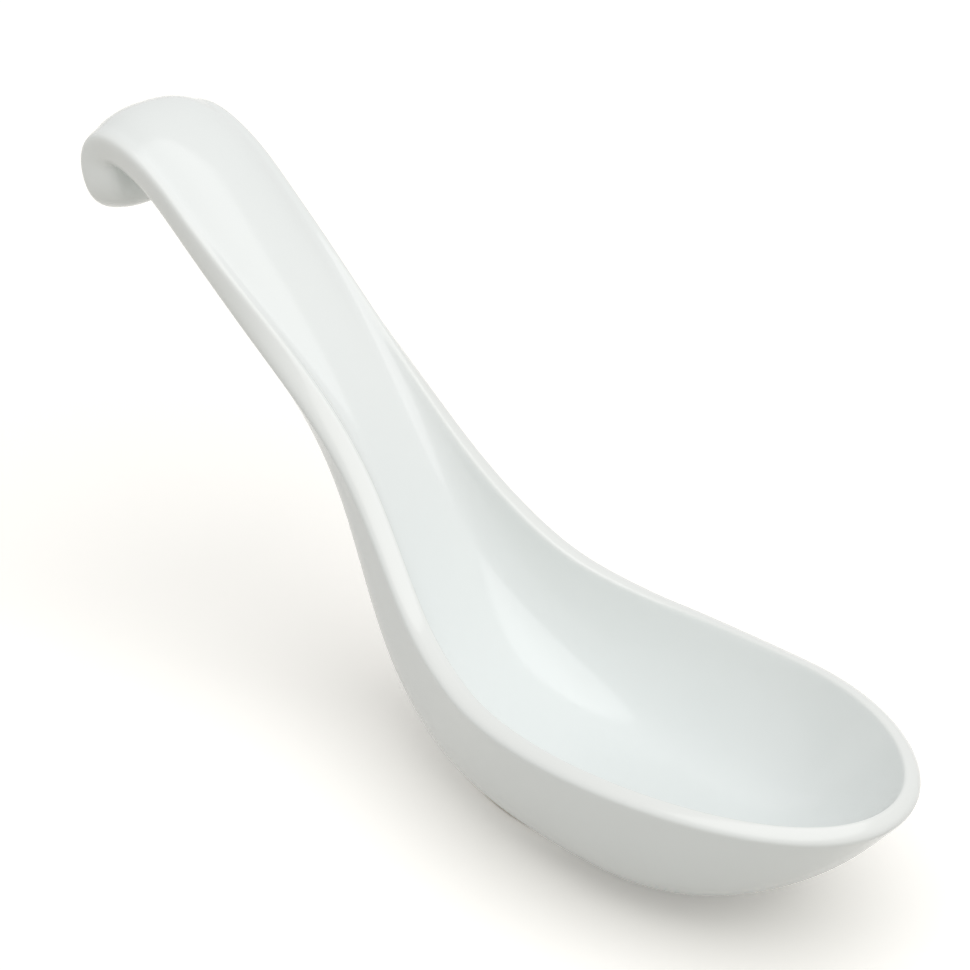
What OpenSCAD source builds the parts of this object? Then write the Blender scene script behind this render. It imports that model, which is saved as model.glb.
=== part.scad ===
// Chinese soup spoon: one piece of fired porcelain under a clear glaze.
// The tip of the bowl points along +X, the handle rises towards -X, +Z is up.
// The origin is the centre of the foot ring, on the surface that it stands on.

/* [Overall] */
// Length from the widest part of the bowl to the back of the hook
hook_reach = 107.7; // [94:0.1:118]
// Height of the top of the handle above the table
spoon_h = 62.5; // [55:0.5:71]

/* [Bowl] */
// Width of the bowl across its rim
bowl_w = 42; // [37:0.5:49]
// Height of the side walls of the bowl over its floor
bowl_depth = 15.4; // [11:0.1:18]
// Height of the wall at the tip over the floor
tip_depth = 13.9; // [10:0.1:17]
// Length from the widest part of the bowl to its tip
tip_reach = 32.5; // [28:0.5:38]
// Thickness of the clay in the middle of the floor
floor_t = 4.6; // [3.4:0.1:5.2]
// Thickness of the clay at the rim
rim_t = 2; // [1.7:0.1:2.6]
// Extra clay under the back of the bowl, which the foot stands on
heel_t = 3; // [2:0.1:3.8]

/* [Handle] */
// Width of the handle across its edges
handle_w = 18; // [15:0.5:21]
// Thickness of the handle along its middle
handle_t = 6.2; // [4.8:0.1:6.8]
// Thickness of the edges at the hook; they thin from there to the bowl's rim
edge_t = 5.2; // [4.2:0.1:5.6]
// Height of the crowned middle of the hook over its edges
crown_h = 0.9; // [0:0.1:1.5]
// Length of the rounding at the end of the hook
end_round = 3.2; // [2.2:0.1:3.8]

/* [Foot] */
// Length of the oval foot ring
foot_l = 33; // [28:1:37]
// Width of the foot ring
foot_w = 18; // [15:1:21]
// Width of the bare face that the ring stands on
ring_w = 2.2; // [1.6:0.1:3]
// Height that the ring holds the bowl off the table
foot_h = 1.1; // [0.8:0.1:1.6]
// Depth of the glazed recess inside the ring
recess_d = 0.7; // [0.5:0.1:1]
// Length from the widest part of the bowl back to the middle of the foot
foot_back = 19; // [15:1:23]

/* [Glaze] */
// Thickness of the glaze
glaze_t = 0.25; // [0.2:0.05:0.35]

/* [Detail] */
// Ribs round the front of the bowl, from its tip to its widest part
fan_count = 12; // [8:1:14]
// Ribs from the widest part of the bowl to the start of the hook
run_count = 26; // [20:1:30]
// Ribs along the hook
hook_count = 18; // [12:1:20]
// Ribs round the corner of the hook's end
end_count = 4; // [3:1:6]
// Points from the middle of a rib to its rim
side_count = 9; // [7:1:10]
// Facets round the edge of the rim
rim_count = 5; // [4:1:6]

/* [Hidden] */
$fn = 96;

// The middle of the clay runs from the widest part of the bowl back to the end
// of the hook. Each pair is how far back and how far up, as shares of its run.
spine_shares = [[0, 0.015], [0.09, 0], [0.205, 0], [0.315, 0.065], [0.415, 0.185], [0.5, 0.372],
    [0.6, 0.6], [0.76, 0.81], [0.87, 0.94], [0.934, 1.019], [1.042, 1.063], [1.06, 0.972], [1.049, 0.93]];
// Along the spine, the way from the handle's width to the bowl's
swell_shares = [0.99, 0.99, 0.925, 0.72, 0.375, 0.03, 0, 0, 0, 0, 0];
// Along the spine, the width of the handle
taper_shares = [1, 1, 1, 0.98, 0.95, 0.95, 0.97, 1, 0.95, 0.85, 0.78];
// Along the spine, the height of the walls
wall_shares = [1.03, 1.03, 1.04, 0.93, 0.59, 0.29, 0.1, 0.01, 0, 0, 0];
// Along the spine, the crown of the hook, which starts as a faint hollow of the handle
crown_shares = [0, 0, 0, 0, 0, -0.2, -0.2, 0.1, 0.8, 1, 1];
// Along the spine, the way from the bowl's thickness to the handle's
thick_shares = [0, 0, 0.04, 0.1, 0.18, 0.38, 0.7, 0.88, 1, 1, 1];
// Along the spine, the way from the rim's thickness to that of the hook's edges
edge_shares = [0, 0, 0.03, 0.07, 0.12, 0.2, 0.3, 0.4, 0.6, 0.95, 1];
// Along the spine, the way from the rim's bulge to the hook's
bulge_shares = [0, 0, 0, 0, 0, 0, 0, 0.1, 0.3, 0.7, 1];
// Along the spine, the extra clay of the heel
heel_shares = [0, 0, 0, 0.9, 1, 0.6, 0, 0, 0, 0, 0];

// A wall rises as this power of the way out to the rim, at the sides and the tip
wall_power = 4;
tip_power = 2.4;
// The clay keeps its thickness up to near the rim, more so with a higher power
thin_power = 4;
// The rim and the end of the hook are rounded as superellipses of these powers
rim_power = 2.8;
end_power = 3;
// Bulge of the bowl's rim and of the hook's edges, as a share of half their thickness
edge_bulge = 0.5;
hook_bulge = 0.8;
// Points crowd towards the rim as this power of their number
crowd_power = 0.7;
// Where the hook starts, as a share of the spine
hook_share = 0.78;
// How deep the foot is rooted, as a share of the floor's thickness
root_share = 0.8;
// Samples that measure the spine
spine_count = 240;
// Overrun of a cut
over = 1;

// Knot i of a cubic B-spline that starts and ends on its first and last of n points
function knot(i, n) = min(max(i - 3, 0), n - 3);

// Point of the spline by halving the control polygon r times up to point i
function blended(c, t, r, i) = r == 0 ? c[i] :
    let (low = knot(i, len(c)), high = knot(i + 4 - r, len(c)), f = (t - low) / (high - low))
    blended(c, t, r - 1, i - 1) * (1 - f) + blended(c, t, r - 1, i) * f;

// Value at a share of the way along control points c
function along(c, share) =
    let (t = min(max(share, 0), 1) * (len(c) - 3), i = min(floor(t), len(c) - 4) + 3)
    blended(c, t, 3, i);

function unit(v) = v / norm(v);
function mirrored(p) = [p.x, -p.y, p.z];

// The spine in real sizes: x along the spoon and y up
floor_z = foot_h + glaze_t + floor_t / 2;
raw_spine = [for (k = [0 : spine_count]) along(spine_shares, k / spine_count)];
low_share = min([for (p = raw_spine) p.y]);
top_share = max([for (p = raw_spine) p.y]);
back_share = max([for (p = raw_spine) p.x]);
spine_run = hook_reach - handle_t / 2 - glaze_t;
spine_rise = spoon_h - floor_z - handle_t / 2 - glaze_t;
spine = [for (p = spine_shares) [foot_back - spine_run * p.x / back_share,
    floor_z + spine_rise * (p.y - low_share) / (top_share - low_share)]];

// Length along the spine up to each sample, and the share that lies there
spine_points = [for (k = [0 : spine_count]) along(spine, k / spine_count)];
lengths = [for (s = 0, k = 0; k <= spine_count;
    s = s + (k < spine_count ? norm(spine_points[k + 1] - spine_points[k]) : 0), k = k + 1) s];
spine_l = lengths[spine_count];
share_table = [for (k = [0 : spine_count]) [lengths[k], k / spine_count]];

// Point at a length s along the spine, w out from its middle and h above it.
// Past its ends the spine goes on straight.
function placed(s, w, h) =
    let (inside = min(max(s, 0), spine_l), t = lookup(inside, share_table), step = 1 / spine_count,
        along_dir = unit(along(spine, t + step) - along(spine, t - step)),
        p = along(spine, t) + along_dir * (s - inside) + [along_dir.y, -along_dir.x] * h)
    [p.x, w, p.y];

// Half widths of the middle of the clay
mean_edge = (rim_t + edge_t) / 2;
bowl_half = bowl_w / 2 - rim_t / 2 * edge_bulge - glaze_t;
handle_half = handle_w / 2 - mean_edge / 2 * edge_bulge - glaze_t;
function half_width(u) = let (grip = handle_half * along(taper_shares, u))
    grip + (bowl_half - grip) * along(swell_shares, u);

// A rib is [start along the spine, run along it, run across, wall, wall power, crown, share]
function rib_at(u, start, run, across, wall, power) =
    [start, run, across, wall, power, crown_h * along(crown_shares, u) * pow(across / half_width(u), 2), u];
side_wall = bowl_depth * along(wall_shares, 0);
front_ribs = [for (i = [0 : fan_count - 1]) let (a = 90 * i / fan_count, f = pow(cos(a), 2))
    rib_at(0, 0, -tip_reach * cos(a), half_width(0) * sin(a),
        side_wall + (tip_depth - side_wall) * f, wall_power + (tip_power - wall_power) * f)];
run_shares = [for (i = [0 : run_count]) hook_share * i / run_count];
hook_shares = [for (i = [1 : hook_count]) hook_share + (1 - hook_share) * i / hook_count];
side_ribs = [for (u = concat(run_shares, hook_shares))
    rib_at(u, u * spine_l, 0, half_width(u), bowl_depth * along(wall_shares, u), wall_power)];
end_ribs = [for (i = [1 : end_count]) let (a = 90 * i / end_count)
    rib_at(1, spine_l, end_round * pow(sin(a), 2 / end_power),
        half_width(1) * pow(max(cos(a), 0), 2 / end_power), bowl_depth * along(wall_shares, 1), wall_power)];
ribs = concat(front_ribs, side_ribs, end_ribs);
last = len(ribs) - 1;

// Points of the middle of the clay, from the centre line out to the rim of each near rib
outs = [for (j = [0 : side_count]) pow(j / side_count, crowd_power)];
middle = [for (r = ribs) [for (q = outs)
    placed(r[0] + q * r[1], -q * r[2], r[3] * pow(q, r[4]) - r[5] * q * q)]];
// Ribs before the first and after the last are their neighbours' mirror images
function rib_point(i, j) = i < 0 ? mirrored(middle[-i][j]) :
    i > last ? mirrored(middle[2 * last - i][j]) : middle[i][j];
function up_dir(i, j) = let (out = rib_point(i, min(j + 1, side_count)) - rib_point(i, j - 1),
    on = rib_point(i + 1, j) - rib_point(i - 1, j)) unit(cross(on, out));
function rim_dir(i) = unit(cross(up_dir(i, side_count),
    rib_point(i + 1, side_count) - rib_point(i - 1, side_count)));

// Half the thickness of the clay at a rib, q of the way out to its rim
function half_clay(rib, q) =
    let (mid = floor_t + (handle_t - floor_t) * along(thick_shares, rib[6]),
        edge = rim_t + (edge_t - rim_t) * along(edge_shares, rib[6]),
        thinned = 1 - pow(1 - pow(q, thin_power), 2))
    (mid + (edge - mid) * thinned) / 2;
function heel(rib, q) = heel_t * along(heel_shares, rib[6]) * pow(1 - q * q, 2);

// One closed section of a near rib, skin out from the clay, from the top's middle
// round the rim to the underside's middle
function section(i, skin) =
    let (r = ribs[i], up = up_dir(i, side_count), out = rim_dir(i), edge = half_clay(r, 1),
        bulge = edge * (edge_bulge + (hook_bulge - edge_bulge) * along(bulge_shares, r[6])),
        top = [for (j = [1 : side_count]) middle[i][j] + up_dir(i, j) * (half_clay(r, outs[j]) + skin)],
        rim = [for (k = [1 : rim_count - 1]) let (a = 90 - 180 * k / rim_count,
            rise = sign(sin(a)) * pow(abs(sin(a)), 2 / rim_power), reach = pow(cos(a), 2 / rim_power))
            middle[i][side_count] + up * (edge + skin) * rise + out * (bulge + skin) * reach],
        under = [for (j = [side_count : -1 : 1])
            middle[i][j] - up_dir(i, j) * (half_clay(r, outs[j]) + heel(r, outs[j]) + skin)])
    concat(top, rim, under);

// Sections run once round the spoon: near side from the tip to the hook, then the far side back
section_len = 2 * side_count + rim_count - 1;
loop_len = 2 * last;
function loop_points(skin) = let (near = [for (i = [0 : last]) section(i, skin)])
    [for (i = [0 : loop_len - 1]) for (p = i <= last ? near[i] : near[loop_len - i])
        i <= last ? p : mirrored(p)];
function spot(i, k) = (i % loop_len) * section_len + k;
// Both halves split their quads alike, so that the spoon stays symmetrical
side_faces = [for (i = [0 : loop_len - 1]) for (k = [0 : section_len - 2])
    let (a = spot(i, k), b = spot(i + 1, k), c = spot(i + 1, k + 1), d = spot(i, k + 1))
    for (f = i < last ? [[a, c, b], [a, d, c]] : [[a, d, b], [b, d, c]]) f];
// Strips across the centre line close the top and the underside
function strip(k) = [for (i = [1 : last - 2]) let (a = spot(i, k), b = spot(i + 1, k),
        c = spot(loop_len - i - 1, k), d = spot(loop_len - i, k)) for (f = [[a, c, d], [a, b, c]]) f];
function strip_ends(k) = [[spot(0, k), spot(1, k), spot(loop_len - 1, k)],
    [spot(last - 1, k), spot(last, k), spot(last + 1, k)]];
function turned(faces) = [for (f = faces) [f[2], f[1], f[0]]];
under_k = section_len - 1;
all_faces = concat(side_faces, strip(0), strip_ends(0), turned(strip(under_k)), turned(strip_ends(under_k)));

// The spoon without its foot, grown all over by skin
module spoon_form(skin) {
    polyhedron(points = loop_points(skin), faces = all_faces, convexity = 8);
}

// An oval prism over the foot's place, drawn in by inset, from low to high
module foot_prism(inset, low, high) {
    translate([0, 0, low])
        linear_extrude(height = high - low)
            scale([1, (foot_w - 2 * inset) / (foot_l - 2 * inset)])
                circle(d = foot_l - 2 * inset);
}

// What the foot ring stands on: it cuts the ring to one true plane
module ground() {
    translate([-foot_l, -foot_w, -2 * over])
        cube([2 * foot_l, 2 * foot_w, 2 * over]);
}

foot_top = foot_h + floor_t * root_share;

// White body with the foot ring, whose face is ground flat and wiped bare before the glaze firing
module porcelain_body() {
    color([0.94, 0.92, 0.88])
        difference() {
            union() {
                spoon_form(0);
                foot_prism(0, -over, foot_top);
            }
            ground();
            foot_prism(ring_w, -over, recess_d);
        }
}

// Clear glaze over the whole spoon down to the foot ring
module glaze_coat() {
    color([0.93, 0.95, 0.94])
        difference() {
            spoon_form(glaze_t);
            spoon_form(0);
            foot_prism(0, -over, foot_top);
        }
}

// Glaze on the ceiling of the recess inside the foot ring
module foot_glaze() {
    color([0.9, 0.93, 0.92])
        foot_prism(ring_w, recess_d - glaze_t, recess_d);
}

porcelain_body();
glaze_coat();
foot_glaze();
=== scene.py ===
import math
from functools import partial

import bpy
from mathutils import Matrix, Vector


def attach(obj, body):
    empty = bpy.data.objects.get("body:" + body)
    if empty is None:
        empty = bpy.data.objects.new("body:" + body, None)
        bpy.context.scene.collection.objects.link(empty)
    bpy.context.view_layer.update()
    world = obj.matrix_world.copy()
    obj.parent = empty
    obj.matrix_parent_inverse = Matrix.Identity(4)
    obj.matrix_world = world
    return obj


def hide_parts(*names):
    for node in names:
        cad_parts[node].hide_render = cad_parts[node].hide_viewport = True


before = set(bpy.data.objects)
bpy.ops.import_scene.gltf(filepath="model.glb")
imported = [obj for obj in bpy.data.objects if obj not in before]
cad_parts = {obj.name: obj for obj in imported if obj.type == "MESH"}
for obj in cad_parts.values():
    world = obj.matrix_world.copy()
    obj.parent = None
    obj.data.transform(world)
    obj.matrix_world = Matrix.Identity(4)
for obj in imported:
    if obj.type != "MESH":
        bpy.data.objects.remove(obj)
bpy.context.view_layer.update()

# Clay of the bowl and handle
# Slip-cast hard-paste porcelain, fired white: one thin-walled bowl that runs on into a thick
# flat handle, hooked at its end. Every station along it has the same kind of section: a floor,
# walls that rise as a power of the way out, and a rounded rim.

MM = 0.001

# Real sizes of the clay, before its glaze
HOOK_REACH = 107.7 * MM
SPOON_H = 62.5 * MM
BOWL_W = 42 * MM
BOWL_DEPTH = 15.4 * MM
TIP_DEPTH = 13.9 * MM
TIP_REACH = 32.5 * MM
FLOOR_T = 4.6 * MM
RIM_T = 2 * MM
HEEL_T = 3 * MM
HANDLE_W = 18 * MM
HANDLE_T = 6.2 * MM
EDGE_T = 5.2 * MM
CROWN_H = 0.9 * MM
END_ROUND = 3.2 * MM
EDGE_BULGE = 0.5
HOOK_BULGE = 0.8
FOOT_H = 1.1 * MM
FOOT_BACK = 19 * MM
GLAZE_T = 0.25 * MM

# Shares along the spine, from the widest part of the bowl back to the end of the hook
spine_shares = [(0, 0.015), (0.09, 0), (0.205, 0), (0.315, 0.065), (0.415, 0.185), (0.5, 0.372),
                (0.6, 0.6), (0.76, 0.81), (0.87, 0.94),
                (0.934, 1.019), (1.042, 1.063), (1.06, 0.972), (1.049, 0.93)]
swell_shares = [0.99, 0.99, 0.925, 0.72, 0.375, 0.03, 0, 0, 0, 0, 0]
taper_shares = [1, 1, 1, 0.98, 0.95, 0.95, 0.97, 1, 0.95, 0.85, 0.78]
wall_shares = [1.03, 1.03, 1.04, 0.93, 0.59, 0.29, 0.1, 0.01, 0, 0, 0]
crown_shares = [0, 0, 0, 0, 0, -0.2, -0.2, 0.1, 0.8, 1, 1]
thick_shares = [0, 0, 0.04, 0.1, 0.18, 0.38, 0.7, 0.88, 1, 1, 1]
edge_shares = [0, 0, 0.03, 0.07, 0.12, 0.2, 0.3, 0.4, 0.6, 0.95, 1]
bulge_shares = [0, 0, 0, 0, 0, 0, 0, 0.1, 0.3, 0.7, 1]
heel_shares = [0, 0, 0, 0.9, 1, 0.6, 0, 0, 0, 0, 0]

# Powers of the walls and of the thinning, of the rim's upper and under edge and the hook's end,
# and of how the rows crowd towards the rim
WALL_POWER = 4
TIP_POWER = 2.4
THIN_POWER = 4
RIM_POWER = 3.8
UNDER_POWER = 2.1
END_POWER = 3
CROWD_POWER = 0.7

# Shares of the way from the tip to the hook's end where the fan ends and the sides end
FAN_END = 0.24
SIDE_END = 0.94

# Rows of the sheet: the top takes this share of them, then the lip, then the underside
TOP_END = 25 / 60
UNDER_START = 35 / 60
# Step in shares for the directions of the skin, and the gap over which its seams close
STEP = 0.002
MERGE = 0.02 * MM

SIZES = {"Tip reach": TIP_REACH, "Tip depth": TIP_DEPTH, "Bowl depth": BOWL_DEPTH,
         "Bowl half": BOWL_W / 2 - RIM_T / 2 * EDGE_BULGE - GLAZE_T,
         "Handle half": HANDLE_W / 2 - (RIM_T + EDGE_T) / 4 * EDGE_BULGE - GLAZE_T,
         "Floor thickness": FLOOR_T, "Rim thickness": RIM_T, "Handle thickness": HANDLE_T,
         "Edge thickness": EDGE_T, "Heel thickness": HEEL_T, "Crown height": CROWN_H,
         "End rounding": END_ROUND}


def spline_value(points, share):
    """Value of the clamped cubic B-spline through control points at a share of its way."""
    n = len(points)
    t = min(max(share, 0), 1) * (n - 3)
    i = min(math.floor(t), n - 4) + 3
    knots = [min(max(k - 3, 0), n - 3) for k in range(n + 4)]
    row = [points[i - 3 + j] for j in range(4)]
    for r in range(1, 4):
        for j in range(3, r - 1, -1):
            low, high = knots[i - 3 + j], knots[i + 1 + j - r]
            f = (t - low) / (high - low)
            row[j] = row[j - 1] * (1 - f) + row[j] * f
    return row[3]


def spine_curve():
    """The middle of the clay along the spoon, as a NURBS curve in real sizes."""
    floor_z = FOOT_H + GLAZE_T + FLOOR_T / 2
    steps = 240
    samples = [spline_value([Vector(p) for p in spine_shares], k / steps) for k in range(steps + 1)]
    low, high = min(p.y for p in samples), max(p.y for p in samples)
    back = max(p.x for p in samples)
    run = HOOK_REACH - HANDLE_T / 2 - GLAZE_T
    rise = SPOON_H - floor_z - HANDLE_T / 2 - GLAZE_T
    curve = bpy.data.curves.new("spine", "CURVE")
    curve.dimensions = "3D"
    curve.resolution_u = 48
    spline = curve.splines.new("NURBS")
    spline.points.add(len(spine_shares) - 1)
    for point, (x, z) in zip(spline.points, spine_shares):
        point.co = (FOOT_BACK - run * x / back, 0, floor_z + rise * (z - low) / (high - low), 1)
    spline.order_u = 4
    spline.use_endpoint_u = True
    return curve


# Plain words for the arithmetic of a tree
ARITHMETIC = {"plus": "ADD", "less": "SUBTRACT", "times": "MULTIPLY", "over": "DIVIDE",
              "power": "POWER", "most": "MAXIMUM", "least": "MINIMUM", "sine": "SINE",
              "cosine": "COSINE", "sign": "SIGN", "size": "ABSOLUTE", "times_plus": "MULTIPLY_ADD",
              "there_and_back": "PINGPONG", "whole": "FLOOR", "is_below": "LESS_THAN"}


def add(tree, kind, *values, out=0, **settings):
    """Adds a node and returns an output of it, or the node if out is None.

    Its inputs take numbers or sockets, in their order, or by name from a dictionary."""
    if kind in ARITHMETIC:
        kind, settings["operation"] = "ShaderNodeMath", ARITHMETIC[kind]
    node = tree.nodes.new(kind)
    for name, value in settings.items():
        setattr(node, name, value)
    given = values[0] if values and isinstance(values[0], dict) else dict(enumerate(values))
    for key, value in given.items():
        if isinstance(value, bpy.types.NodeSocket):
            tree.links.new(value, node.inputs[key])
        else:
            node.inputs[key].default_value = value
    return node if out is None else node.outputs[out]


def new_tree(name, inputs, outputs):
    """An empty geometry tree, with its named inputs and outputs as (name, kind of socket, value)."""
    tree = bpy.data.node_groups.new(name, "GeometryNodeTree")
    for way, sockets in (("INPUT", inputs), ("OUTPUT", outputs)):
        for label, kind, value in sockets:
            socket = tree.interface.new_socket(label, in_out=way, socket_type="NodeSocket" + kind)
            if value is not None:
                socket.default_value = value
    return tree, partial(add, tree), add(tree, "NodeGroupInput", out=None).outputs


def along_spoon(tree, shares, share):
    """A share that varies along the spoon, as a curve node through the spline of its table."""
    node = add(tree, "ShaderNodeFloatCurve", {"Value": share}, out=None)
    low, high = min(shares), max(shares)
    line = node.mapping.curves[0]
    count = 24
    while len(line.points) < count + 1:
        line.points.new(0.5, 0.5)
    for k, point in enumerate(line.points):
        point.location = (k / count, (spline_value(shares, k / count) - low) / (high - low))
        point.handle_type = "AUTO"
    node.mapping.update()
    return add(tree, "times_plus", node.outputs[0], high - low, low)


def clay_point_tree():
    """A group that gives the middle of the clay at a share round the rim and a share of the way out."""
    inputs = [("Geometry", "Geometry", None), ("Round", "Float", None), ("Out", "Float", None)]
    inputs += [(name, "Float", value) for name, value in SIZES.items()]
    outputs = [("Position", "Vector", None), ("Half thickness", "Float", None),
               ("Heel", "Float", None), ("Bowl share", "Float", None), ("Bulge", "Float", None)]
    tree, node, given = new_tree("clay_point", inputs, outputs)
    out = given["Out"]

    # Once round the rim: a quarter fan at the tip, the sides, and the corner of the hook's end
    there = node("there_and_back", node("times", given["Round"], 2), 1)
    side = node("times", node("sign", node("sine", node("times", given["Round"], math.tau))), -1)
    fan = node("ShaderNodeMapRange", there, 0, FAN_END, 0, math.pi / 2)
    share = node("ShaderNodeMapRange", there, FAN_END, SIDE_END, 0, 1)
    corner = node("ShaderNodeMapRange", there, SIDE_END, 1, 0, math.pi / 2)
    forward = node("cosine", fan)
    tip = node("times", forward, forward)
    bend = node("power", node("most", node("cosine", corner), 0), 2 / END_POWER)
    beyond = node("power", node("sine", corner), 2 / END_POWER)

    # How far the rim lies to the side of the spine, and past its two ends
    grip = node("times", given["Handle half"], along_spoon(tree, taper_shares, share))
    swell = node("less", given["Bowl half"], grip)
    half = node("times_plus", swell, along_spoon(tree, swell_shares, share), grip)
    sideways = node("times", node("sine", fan), bend)
    across = node("times", half, sideways)
    past = node("times", given["End rounding"], beyond)
    run = node("less", past, node("times", given["Tip reach"], forward))

    # How far the clay climbs from the spine: up as a wall, or down as the crown of the handle
    wall = node("times", given["Bowl depth"], along_spoon(tree, wall_shares, share))
    wall = node("times_plus", node("less", given["Tip depth"], wall), tip, wall)
    steep = node("times_plus", tip, TIP_POWER - WALL_POWER, WALL_POWER)
    crown = node("times", given["Crown height"], along_spoon(tree, crown_shares, share))
    crown = node("times", crown, node("times", sideways, sideways))
    climb = node("times", wall, node("power", out, steep))
    height = node("less", climb, node("times", crown, node("times", out, out)))

    length = node("GeometryNodeCurveLength", given["Geometry"])
    along = node("times_plus", share, length, node("times", out, run))
    inside = node("least", node("most", along, 0), length)
    spot = node("GeometryNodeSampleCurve", {"Curves": given["Geometry"], "Length": inside}, out=None,
                mode="LENGTH", use_all_curves=True)
    tangent = spot.outputs["Tangent"]
    parts = node("ShaderNodeSeparateXYZ", tangent, out=None).outputs
    up = node("ShaderNodeCombineXYZ", parts[2], 0, node("times", parts[0], -1))
    beside = node("times", node("times", across, out), side)
    moves = [node("ShaderNodeVectorMath", {"Vector": v, "Scale": s}, operation="SCALE")
             for v, s in ((tangent, node("less", along, inside)), (up, height))]
    place = spot.outputs["Position"]
    for move in moves + [node("ShaderNodeCombineXYZ", 0, beside, 0)]:
        place = node("ShaderNodeVectorMath", place, move, operation="ADD")

    # The clay thins from the floor to the rim, and a heel thickens it over the foot
    thick = along_spoon(tree, thick_shares, share)
    middle = node("times_plus", node("less", given["Handle thickness"], given["Floor thickness"]),
                  thick, given["Floor thickness"])
    edge = node("times_plus", node("less", given["Edge thickness"], given["Rim thickness"]),
                along_spoon(tree, edge_shares, share), given["Rim thickness"])
    still = node("less", 1, node("power", out, THIN_POWER))
    thinned = node("less", 1, node("times", still, still))
    full = node("times_plus", node("less", edge, middle), thinned, middle)
    inner = node("less", 1, node("times", out, out))
    heel = node("times", given["Heel thickness"], along_spoon(tree, heel_shares, share))
    heel = node("times", heel, node("times", inner, inner))
    bulge = node("times_plus", along_spoon(tree, bulge_shares, share), HOOK_BULGE - EDGE_BULGE, EDGE_BULGE)
    node("NodeGroupOutput", place, node("times", full, 0.5), heel,
         node("over", wall, given["Bowl depth"]), bulge, out=None)
    return tree


def finish_form(tree, sheet, material, smoothing=0):
    """Closes the seams of a sheet, smooths it, and ends the tree with its material."""
    closed = add(tree, "GeometryNodeMergeByDistance", {"Geometry": sheet, "Distance": MERGE})
    smooth = add(tree, "GeometryNodeSubdivisionSurface", {"Mesh": closed, "Level": smoothing})
    shaded = add(tree, "GeometryNodeSetShadeSmooth", {"Geometry": smooth, "Shade Smooth": True})
    real = add(tree, "GeometryNodeRealizeInstances", shaded)
    done = add(tree, "GeometryNodeSetMaterial", {"Geometry": real, "Material": material})
    add(tree, "NodeGroupOutput", done, out=None)


def spoon_tree():
    """A tree that lays the clay's skin round its spine: top, rim and underside in one closed sheet."""
    inputs = [("Geometry", "Geometry", None), ("Skin", "Float", 0), ("Material", "Material", None),
              ("Ribs", "Int", 241), ("Rows", "Int", 61), ("Smoothing", "Int", 1)]
    inputs += [(name, "Float", value) for name, value in SIZES.items()]
    tree, node, given = new_tree("spoon_form", inputs, [("Geometry", "Geometry", None)])
    point_tree = clay_point_tree()

    grid = node("GeometryNodeMeshGrid", 1, 1, given["Ribs"], given["Rows"])
    spread = node("ShaderNodeSeparateXYZ", node("GeometryNodeInputPosition"), out=None).outputs
    round_share = node("plus", spread[0], 0.5)
    row = node("plus", spread[1], 0.5)
    top = node("ShaderNodeMapRange", row, 0, TOP_END, 0, 1)
    under = node("ShaderNodeMapRange", row, UNDER_START, 1, 1, 0)
    out = node("power", node("least", top, under), CROWD_POWER)
    lip = node("ShaderNodeMapRange", row, TOP_END, UNDER_START, math.pi / 2, -math.pi / 2)

    def clay(start, d_round=0, d_out=0):
        """The clay's middle at a share of the way out, a little further round or out."""
        values = {"Round": node("plus", round_share, d_round), "Out": node("plus", start, d_out)}
        values.update({label: given[label] for label in ["Geometry", *SIZES]})
        group = node("GeometryNodeGroup", node_tree=point_tree, out=None)
        for label, socket in values.items():
            tree.links.new(socket, group.inputs[label])
        return group.outputs

    # Directions of the skin, from small steps over the clay's middle
    off_middle = node("most", out, 2 * STEP)
    here = clay(off_middle)["Position"]
    onward = node("ShaderNodeVectorMath", clay(off_middle, STEP)["Position"],
                  clay(off_middle, -STEP)["Position"], operation="SUBTRACT")
    outward = node("ShaderNodeVectorMath", here, clay(off_middle, 0, -STEP)["Position"], operation="SUBTRACT")
    up = node("ShaderNodeVectorMath", onward, outward, operation="CROSS_PRODUCT")
    up = node("ShaderNodeVectorMath", up, operation="NORMALIZE")
    rim_out = node("ShaderNodeVectorMath", up, onward, operation="CROSS_PRODUCT")
    rim_out = node("ShaderNodeVectorMath", rim_out, operation="NORMALIZE")

    # The skin lies half a thickness up or down, and bulges out round the rim
    centre = clay(out)
    half = centre["Half thickness"]
    high = node("sine", lip)
    # The rim's upper edge is crisper than its under edge
    crisp = node("times_plus", node("is_below", 0, high), 2 / RIM_POWER - 2 / UNDER_POWER, 2 / UNDER_POWER)
    reach = node("power", node("most", node("cosine", lip), 0), crisp)
    rise = node("times", node("sign", high), node("power", node("size", high), crisp))
    body = node("times", node("plus", half, given["Skin"]), rise)
    lift = node("less", body, node("times", centre["Heel"], node("is_below", high, -0.999)))
    bulge = node("times", node("times_plus", half, centre["Bulge"], given["Skin"]), reach)
    skin = centre["Position"]
    for way, far in ((up, lift), (rim_out, bulge)):
        move = node("ShaderNodeVectorMath", {"Vector": way, "Scale": far}, operation="SCALE")
        skin = node("ShaderNodeVectorMath", skin, move, operation="ADD")

    # How deep the glaze lies: 0 on the lip, a half elsewhere, 1 on the floor of the bowl
    floor = node("times", centre["Bowl share"], node("less", 1, node("power", out, 3)))
    pool = node("ShaderNodeMapRange", high, 0.2, 1, 0, floor)
    pool = node("less", node("times_plus", pool, 0.5, 0.5), node("times", reach, 0.5))

    sheet = node("GeometryNodeStoreNamedAttribute", {"Geometry": grid, "Name": "glaze_depth", "Value": pool},
                 data_type="FLOAT", domain="POINT")
    sheet = node("GeometryNodeSetPosition", {"Geometry": sheet, "Position": skin})
    finish_form(tree, sheet, given["Material"], given["Smoothing"])
    return tree


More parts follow.
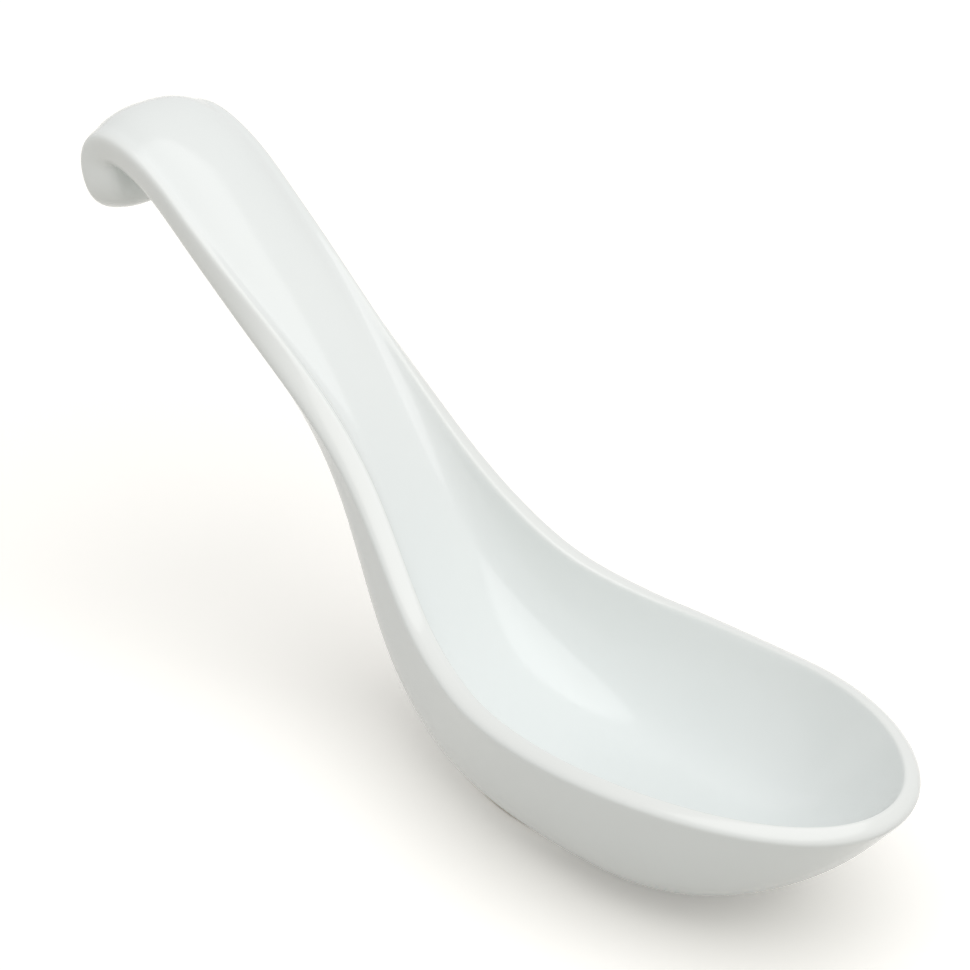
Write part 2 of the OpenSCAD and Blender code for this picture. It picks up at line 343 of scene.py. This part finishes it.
def baked(name, data, tree, **inputs):
    """Runs a tree on new geometry and returns its result as a plain mesh object at the origin."""
    source = bpy.data.objects.new(name + "_source", data)
    bpy.context.scene.collection.objects.link(source)
    modifier = source.modifiers.new("tree", "NODES")
    modifier.node_group = tree
    sockets = {s.name: s.identifier for s in tree.interface.items_tree if s.in_out == "INPUT"}
    for label, value in inputs.items():
        modifier[sockets[label]] = value
    bpy.context.view_layer.update()
    mesh = bpy.data.meshes.new_from_object(source.evaluated_get(bpy.context.evaluated_depsgraph_get()))
    source.modifiers.remove(modifier)
    bpy.data.objects.remove(source)
    mesh.name = name
    piece = bpy.data.objects.new(name, mesh)
    bpy.context.scene.collection.objects.link(piece)
    return piece


def linear(hex_colour):
    """An sRGB hex colour as the linear values that a shader takes."""
    parts = [int(hex_colour[k:k + 2], 16) / 255 for k in (1, 3, 5)]
    return [p / 12.92 if p <= 0.04045 else ((p + 0.055) / 1.055) ** 2.4 for p in parts] + [1]


def bisque_porcelain():
    """Bisque hard-paste porcelain, bare where it stands: it gives a matt white with a fine tooth."""
    material = bpy.data.materials.new("bisque_porcelain")
    material.use_nodes = True
    node = partial(add, material.node_tree)
    where = node("ShaderNodeTexCoord", out="Object")
    # Grit of 0.3 mm, drawn coarser than the real 0.05 mm so that it shows
    grit = node("ShaderNodeTexNoise", {"Vector": where, "Scale": 1 / (0.3 * MM), "Detail": 3})
    cloud = node("ShaderNodeTexNoise", {"Vector": where, "Scale": 1 / (6 * MM), "Detail": 2})
    white = node("ShaderNodeMix", {0: cloud, 6: linear("#E6E1D6"), 7: linear("#F0ECE3")},
                 data_type="RGBA", out=2)
    # The bare clay flashes a faint tan just under the edge of the glaze
    height = node("ShaderNodeSeparateXYZ", where, out=2)
    flash = node("times", node("ShaderNodeMapRange", height, 0.15 * MM, 0.6 * MM, 0, 0.6), grit)
    tan = node("ShaderNodeMix", {0: flash, 6: white, 7: linear("#D3BF9F")}, data_type="RGBA", out=2)
    # Rubbing greys the high grit of the face that stands on the table
    low = node("ShaderNodeMapRange", height, 0.005 * MM, 0.03 * MM, 0.35, 0)
    worn = node("times", low, node("ShaderNodeMapRange", grit, 0.5, 0.62, 0, 1))
    rubbed = node("ShaderNodeMix", {0: worn, 6: tan, 7: linear("#BDB8AF")}, data_type="RGBA", out=2)
    bump = node("ShaderNodeBump", {"Strength": 0.35, "Distance": 0.05 * MM, "Height": grit})
    shader = material.node_tree.nodes["Principled BSDF"]
    shader.inputs["IOR"].default_value = 1.5
    rough = node("ShaderNodeMapRange", grit, 0.3, 0.7, 0.62, 0.8)
    for label, socket in (("Base Color", rubbed), ("Roughness", rough), ("Normal", bump)):
        material.node_tree.links.new(socket, shader.inputs[label])
    return material


bisque = bisque_porcelain()
spoon_form = spoon_tree()
clay = baked("spoon_clay", spine_curve(), spoon_form, Skin=0.0, Material=bisque, Ribs=161, Rows=41)
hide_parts("porcelain_body")
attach(clay, "root")

# Foot ring
# A low oval ring of the same clay, cast in one with the bowl and standing under its heel, with a
# shallow recess inside it. Its face is ground flat and wiped bare of glaze before the firing.

FOOT_L = 33 * MM
FOOT_W = 18 * MM
RING_W = 2.2 * MM
RECESS_D = 0.7 * MM
RING_EDGE = 0.35 * MM
FOOT_TOP = 4.4 * MM


def arc(inset, height, radius, start, end, count=6):
    """Points of a rounding in the foot's profile, from one angle to another in degrees."""
    angles = [math.radians(start + (end - start) * k / count) for k in range(count + 1)]
    return [(inset + radius * math.cos(a), height + radius * math.sin(a)) for a in angles]


def foot_profile(points):
    """A profile of the foot: each point is how far in it lies from the outline, and its height."""
    curve = bpy.data.curves.new("foot_profile", "CURVE")
    curve.dimensions = "3D"
    line = curve.splines.new("POLY")
    line.points.add(len(points) - 1)
    for point, (inset, height) in zip(line.points, points):
        point.co = (inset, 0, height, 1)
    return curve


def oval_grid(node, given, rows):
    """A grid of stations round the foot's oval, with each point's row and its turn round the oval."""
    grid = node("GeometryNodeMeshGrid", 1, 1, node("plus", given["Stations"], 1), rows)
    index = node("GeometryNodeInputIndex")
    station = node("whole", node("over", node("plus", index, 0.5), rows))
    row = node("less", index, node("times", station, rows))
    return grid, row, node("times", node("over", station, given["Stations"]), math.tau)


def oval_point(node, given, turn, far, height):
    """A point at a height, so far out from the foot's outline, at a turn round the oval."""
    x, y = (node("times", node("times_plus", given[label], 0.5, far), node(way, turn))
            for label, way in (("Length", "cosine"), ("Width", "sine")))
    return node("ShaderNodeCombineXYZ", x, y, height)


def oval_tree():
    """A tree that carries a profile round the foot's oval and closes it along the middle."""
    inputs = [("Geometry", "Geometry", None), ("Length", "Float", FOOT_L), ("Width", "Float", FOOT_W),
              ("Stations", "Int", 144), ("Material", "Material", None)]
    tree, node, given = new_tree("oval_form", inputs, [("Geometry", "Geometry", None)])
    count = node("GeometryNodeAttributeDomainSize", given["Geometry"], component="CURVE", out="Point Count")
    grid, row, turn = oval_grid(node, given, count)
    spot = node("GeometryNodeSampleIndex", {"Geometry": given["Geometry"], "Index": row,
                "Value": node("GeometryNodeInputPosition")}, data_type="FLOAT_VECTOR", domain="POINT")
    profile = node("ShaderNodeSeparateXYZ", spot, out=None).outputs
    place = oval_point(node, given, turn, node("times", profile[0], -1), profile[2])
    sheet = node("GeometryNodeSetPosition", {"Geometry": grid, "Position": place})
    finish_form(tree, sheet, given["Material"])
    return tree


oval_form = oval_tree()
middle = FOOT_W / 2
ring_points = ([(middle, RECESS_D), (RING_W + 2 * RING_EDGE, RECESS_D)]
               + arc(RING_W + RING_EDGE, RECESS_D - RING_EDGE, RING_EDGE, 90, 180, 4)[1:]
               + arc(RING_W - RING_EDGE, RING_EDGE, RING_EDGE, 0, -90)
               + arc(RING_EDGE, RING_EDGE, RING_EDGE, -90, -180)
               + [(0, FOOT_TOP), (middle, FOOT_TOP)])
ring = baked("foot_ring", foot_profile(ring_points), oval_form, Material=bisque)
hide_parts("porcelain_body")
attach(ring, "root")

# Glaze over the spoon
# A clear feldspathic glaze, dipped and fired on at high heat over the whole spoon but the foot
# ring's face. It lies thin on the lips, where the clay shows warmer, and pools in the bowl and in
# the corner where the foot ring meets the belly.

THIN_WHITE = "#EEF0ED"
GLAZE_WHITE = "#EDF0EE"
POOL_WHITE = "#EAEFEE"


def porcelain_glaze():
    """Clear glaze on white porcelain: it gives a soft gloss over a cool, faintly cloudy white."""
    material = bpy.data.materials.new("glazed_porcelain")
    material.use_nodes = True
    node = partial(add, material.node_tree)
    where = node("ShaderNodeTexCoord", out="Object")
    depth = node("ShaderNodeAttribute", attribute_name="glaze_depth", out="Fac")
    cloud = node("ShaderNodeTexNoise", {"Vector": where, "Scale": 1 / (22 * MM), "Detail": 2})
    # Thin glaze lets the warm clay through, pooled glaze turns the white cool
    mixed = node("plus", depth, node("times", node("less", cloud, 0.5), 0.35))
    thin = node("ShaderNodeMapRange", mixed, 0.05, 0.45, 0, 1)
    thick = node("ShaderNodeMapRange", mixed, 0.5, 1, 0, 1)
    skin = node("ShaderNodeMix", {0: thin, 6: linear(THIN_WHITE), 7: linear(GLAZE_WHITE)},
                data_type="RGBA", out=2)
    pooled = node("ShaderNodeMix", {0: thick, 6: skin, 7: linear(POOL_WHITE)}, data_type="RGBA", out=2)
    # The melt leaves long soft ripples of 6 mm and a fine orange peel of 0.9 mm
    ripple = node("ShaderNodeTexNoise", {"Vector": where, "Scale": 1 / (6 * MM), "Detail": 1})
    peel = node("ShaderNodeTexNoise", {"Vector": where, "Scale": 1 / (0.9 * MM), "Detail": 1})
    waves = node("ShaderNodeBump", {"Strength": 0.5, "Distance": 0.05 * MM, "Height": ripple})
    bump = node("ShaderNodeBump", {"Strength": 0.25, "Distance": 0.004 * MM, "Height": peel, "Normal": waves})
    gloss = node("ShaderNodeMapRange", cloud, 0.3, 0.7, 0.12, 0.18)
    shader = material.node_tree.nodes["Principled BSDF"]
    shader.inputs["IOR"].default_value = 1.5
    for label, socket in (("Base Color", pooled), ("Roughness", gloss), ("Normal", bump)):
        material.node_tree.links.new(socket, shader.inputs[label])
    return material


glazed = porcelain_glaze()
glaze = baked("glaze_skin", spine_curve(), spoon_form, Skin=GLAZE_T, Material=glazed)
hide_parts("glaze_coat")
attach(glaze, "root")

# Glaze round the foot ring
# The same coat where it runs down the outside of the ring: it fills the corner under the belly
# with a soft cove and ends in a rounded roll just above the ground face.

LINE_H = 0.55 * MM
ROLL_T = 0.32 * MM
COVE = 1.3 * MM
COVE_ROWS = 18
# How far the band's hidden back lies inside the ring and the belly, so that no seam shows
BACK_IN = 0.5 * MM
SINK_IN = 0.35 * MM


def cove_tree():
    """A tree that runs a closed band of glaze round the foot's oval, up against the belly over it."""
    inputs = [("Geometry", "Geometry", None), ("Length", "Float", FOOT_L), ("Width", "Float", FOOT_W),
              ("Line height", "Float", LINE_H), ("Roll", "Float", ROLL_T), ("Cove", "Float", COVE),
              ("Stations", "Int", 180), ("Material", "Material", None)]
    tree, node, given = new_tree("foot_cove", inputs, [("Geometry", "Geometry", None)])
    grid, row, turn = oval_grid(node, given, COVE_ROWS)
    outside = partial(oval_point, node, given, turn)

    def belly(far):
        """The height of the belly over a point so far out from the wall."""
        hit = node("GeometryNodeRaycast", {"Target Geometry": given["Geometry"], "Ray Length": 0.1,
                   "Source Position": outside(far, -10 * MM), "Ray Direction": (0, 0, 1)}, out="Hit Position")
        return node("ShaderNodeSeparateXYZ", hit, out=2)

    # Heights of the belly over the wall and where the cove ends, and of the wall's glaze under it
    over_wall = belly(given["Roll"])
    cove_end = belly(given["Cove"])
    wall_top = node("most", node("less", over_wall, given["Cove"]),
                    node("times_plus", given["Roll"], 1.2, given["Line height"]))
    # Shares of the way, row by row: the roll, the wall, the cove, into the belly and back inside
    roll, wall, bend, sink, back, close = (node("ShaderNodeMapRange", row, low, high, 0, 1) for low, high in
                                           ((1, 5), (5, 6), (6, 14), (14, 15), (15, 16), (16, 17)))
    angle = node("times", roll, math.pi / 2)
    far = node("times", given["Roll"], node("sine", angle))
    high = node("times_plus", given["Roll"], node("less", 1, node("cosine", angle)), given["Line height"])
    high = node("times_plus", node("less", wall_top, high), wall, high)
    lift = node("less", over_wall, wall_top)
    rest = node("less", 1, bend)
    both = node("times", node("times", bend, rest), 2)
    square = node("times", bend, bend)
    far = node("times_plus", node("less", given["Cove"], given["Roll"]), square, far)
    high = node("times_plus", lift, both, high)
    high = node("times_plus", node("less", cove_end, wall_top), square, high)
    skin = outside(node("times_plus", sink, BACK_IN, far), node("times_plus", sink, SINK_IN, high))
    inside_low = outside(-BACK_IN, node("plus", given["Line height"], 0.2 * MM))
    inside_high = outside(-BACK_IN, node("plus", over_wall, 0.8 * MM))
    start = node("ShaderNodeMapRange", row, 0, 1, 1, 0)
    for share, point in ((start, inside_low), (back, inside_high), (close, inside_low)):
        skin = node("ShaderNodeMix", {0: share, 4: skin, 5: point}, data_type="VECTOR", out=1)
    sheet = node("GeometryNodeSetPosition", {"Geometry": grid, "Position": skin})
    sheet = node("GeometryNodeStoreNamedAttribute", {"Geometry": sheet, "Name": "glaze_depth",
                 "Value": node("plus", 0.5, node("times", both, 0.9))}, data_type="FLOAT", domain="POINT")
    finish_form(tree, sheet, given["Material"])
    return tree


cove = baked("foot_cove", glaze.data.copy(), cove_tree(), Material=glazed)
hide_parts("glaze_coat")
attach(cove, "root")

# Glaze inside the foot ring
# The same coat over the flat ceiling of the recess. It turns down the ring's inner wall in a
# small cove and ends above the ground face too.

ceiling = RECESS_D - GLAZE_T
recess_points = ([(middle, ceiling), (RING_W + 3 * GLAZE_T, ceiling)]
                 + arc(RING_W + 3 * GLAZE_T, ceiling - GLAZE_T, GLAZE_T, 90, 150, 3)[1:]
                 + [(RING_W + 0.28 * MM, ceiling - 0.16 * MM), (RING_W + 0.1 * MM, ceiling - 0.2 * MM),
                    (RING_W - 0.2 * MM, ceiling - 0.1 * MM), (RING_W - 0.2 * MM, RECESS_D + 0.2 * MM),
                    (middle, RECESS_D + 0.2 * MM)])
recess = baked("foot_recess_glaze", foot_profile(recess_points), oval_form, Material=glazed)
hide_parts("foot_glaze")
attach(recess, "root")

# Floor and light
# A wide white floor and one large soft lamp, overhead and a little beyond the tip, in a pale
# surround that is brightest low down on the camera's side. The camera sees the floor white, with
# the spoon's shadow.

# Strengths of the surround at its horizon and overhead, and how far it leans to its bright side
HORIZON = 0.62
ZENITH = 0.42
LEAN = 0.3
BRIGHT_SIDE = (0.8, -0.5, 0)
# Watts, and metres across
LAMP_POWER = 13.5
LAMP_SIZE = 2
LAMP_PLACE = Vector((0.35, -0.05, 1.4))
# Half the board's side in metres, its white as it is seen, the grey that it gives back, and the
# lift that brings the open board up to white
FLOOR_HALF = 6
FLOOR_WHITE = "#FFFDF9"
FLOOR_BOUNCE = "#CCCBC7"
FLOOR_LIFT = 0.2


def directly_seen(node):
    """1 where the camera, a reflection or clear glass shows the place, and 0 where light scatters."""
    paths = node("ShaderNodeLightPath", out=None).outputs
    mirrored = node("most", paths["Is Glossy Ray"], paths["Is Transmission Ray"])
    return node("most", paths["Is Camera Ray"], mirrored)


def white_floor():
    """Painted board: the camera and reflections see it white, and it gives back a little less light."""
    material = bpy.data.materials.new("white_board")
    material.use_nodes = True
    tree = material.node_tree
    tree.nodes.remove(tree.nodes["Principled BSDF"])
    node = partial(add, tree)
    bounce = node("ShaderNodeBsdfDiffuse", {"Color": linear(FLOOR_BOUNCE)})
    board = node("ShaderNodeBsdfDiffuse", {"Color": linear(FLOOR_WHITE)})
    lift = node("ShaderNodeEmission", {"Color": linear(FLOOR_WHITE), "Strength": FLOOR_LIFT})
    white = node("ShaderNodeAddShader", board, lift)
    surface = node("ShaderNodeMixShader", directly_seen(node), bounce, white)
    tree.links.new(surface, tree.nodes["Material Output"].inputs["Surface"])
    return material


corners = [(x * FLOOR_HALF, y * FLOOR_HALF, 0) for x, y in ((-1, -1), (1, -1), (1, 1), (-1, 1))]
floor_mesh = bpy.data.meshes.new("floor")
floor_mesh.from_pydata(corners, [], [(0, 1, 2, 3)])
floor_mesh.materials.append(white_floor())
floor = bpy.data.objects.new("floor", floor_mesh)
bpy.context.scene.collection.objects.link(floor)

lamp = bpy.data.lights.new("soft_lamp", "AREA")
lamp.shape = "DISK"
lamp.size = LAMP_SIZE
lamp.energy = LAMP_POWER
lamp_object = bpy.data.objects.new("soft_lamp", lamp)
bpy.context.scene.collection.objects.link(lamp_object)
lamp_object.location = LAMP_PLACE
lamp_object.rotation_euler = LAMP_PLACE.to_track_quat("Z", "Y").to_euler()

world = bpy.data.worlds.new("pale_room")
bpy.context.scene.world = world
world.use_nodes = True
node = partial(add, world.node_tree)
direction = node("ShaderNodeTexCoord", out="Generated")
height = node("ShaderNodeSeparateXYZ", direction, out=2)
sky = node("ShaderNodeMapRange", height, 0, 1, HORIZON, ZENITH)
lean = node("ShaderNodeVectorMath", direction, BRIGHT_SIDE, operation="DOT_PRODUCT", out="Value")
sky = node("times", sky, node("times_plus", lean, LEAN, 1))
strength = node("ShaderNodeMix", {0: directly_seen(node), 2: sky, 3: 1})
background = world.node_tree.nodes["Background"]
background.inputs["Color"].default_value = linear("#FFFFFF")
world.node_tree.links.new(strength, background.inputs["Strength"])

# Camera
# It stands where the photograph was taken from: at the front right, a third of the way up, with
# the small roll that fits the photograph.

# Fitted to the outline in the photograph: turns in degrees, lengths in metres, and the place of
# the fit's own origin, back from the bowl's widest part and up from the belly
TURN, TILT, ROLL = 45.561, 29.002, 3.736
DISTANCE = 0.794654
AIM_ACROSS = -0.014609
AIM_UP = 0.038443
FIT_BACK = 13.25 * MM
FIT_RISE = 1.386 * MM
PIXELS_PER_MM = 8.208
PHOTO_SIDE = 970
SENSOR = 36

camera = bpy.data.cameras.new("camera")
lens_object = bpy.data.objects.new("camera", camera)
bpy.context.scene.collection.objects.link(lens_object)
bpy.context.scene.camera = lens_object
az, el, roll = (math.radians(a) for a in (TURN, TILT, ROLL))
right = Vector((math.cos(az), math.sin(az), 0))
ahead = Vector((-math.sin(az) * math.cos(el), math.cos(az) * math.cos(el), -math.sin(el)))
above = right.cross(ahead)
across = right * math.cos(roll) + above * math.sin(roll)
upward = above * math.cos(roll) - right * math.sin(roll)
place = -ahead * DISTANCE + across * AIM_ACROSS + upward * AIM_UP
place += Vector((FOOT_BACK - FIT_BACK, 0, FIT_RISE + FOOT_H))
lens_object.matrix_world = Matrix((across, upward, -ahead)).transposed().to_4x4()
lens_object.matrix_world.translation = place
camera.sensor_width = SENSOR
camera.lens = DISTANCE * 1000 * PIXELS_PER_MM / PHOTO_SIDE * SENSOR
bpy.context.scene.view_settings.view_transform = "Standard"
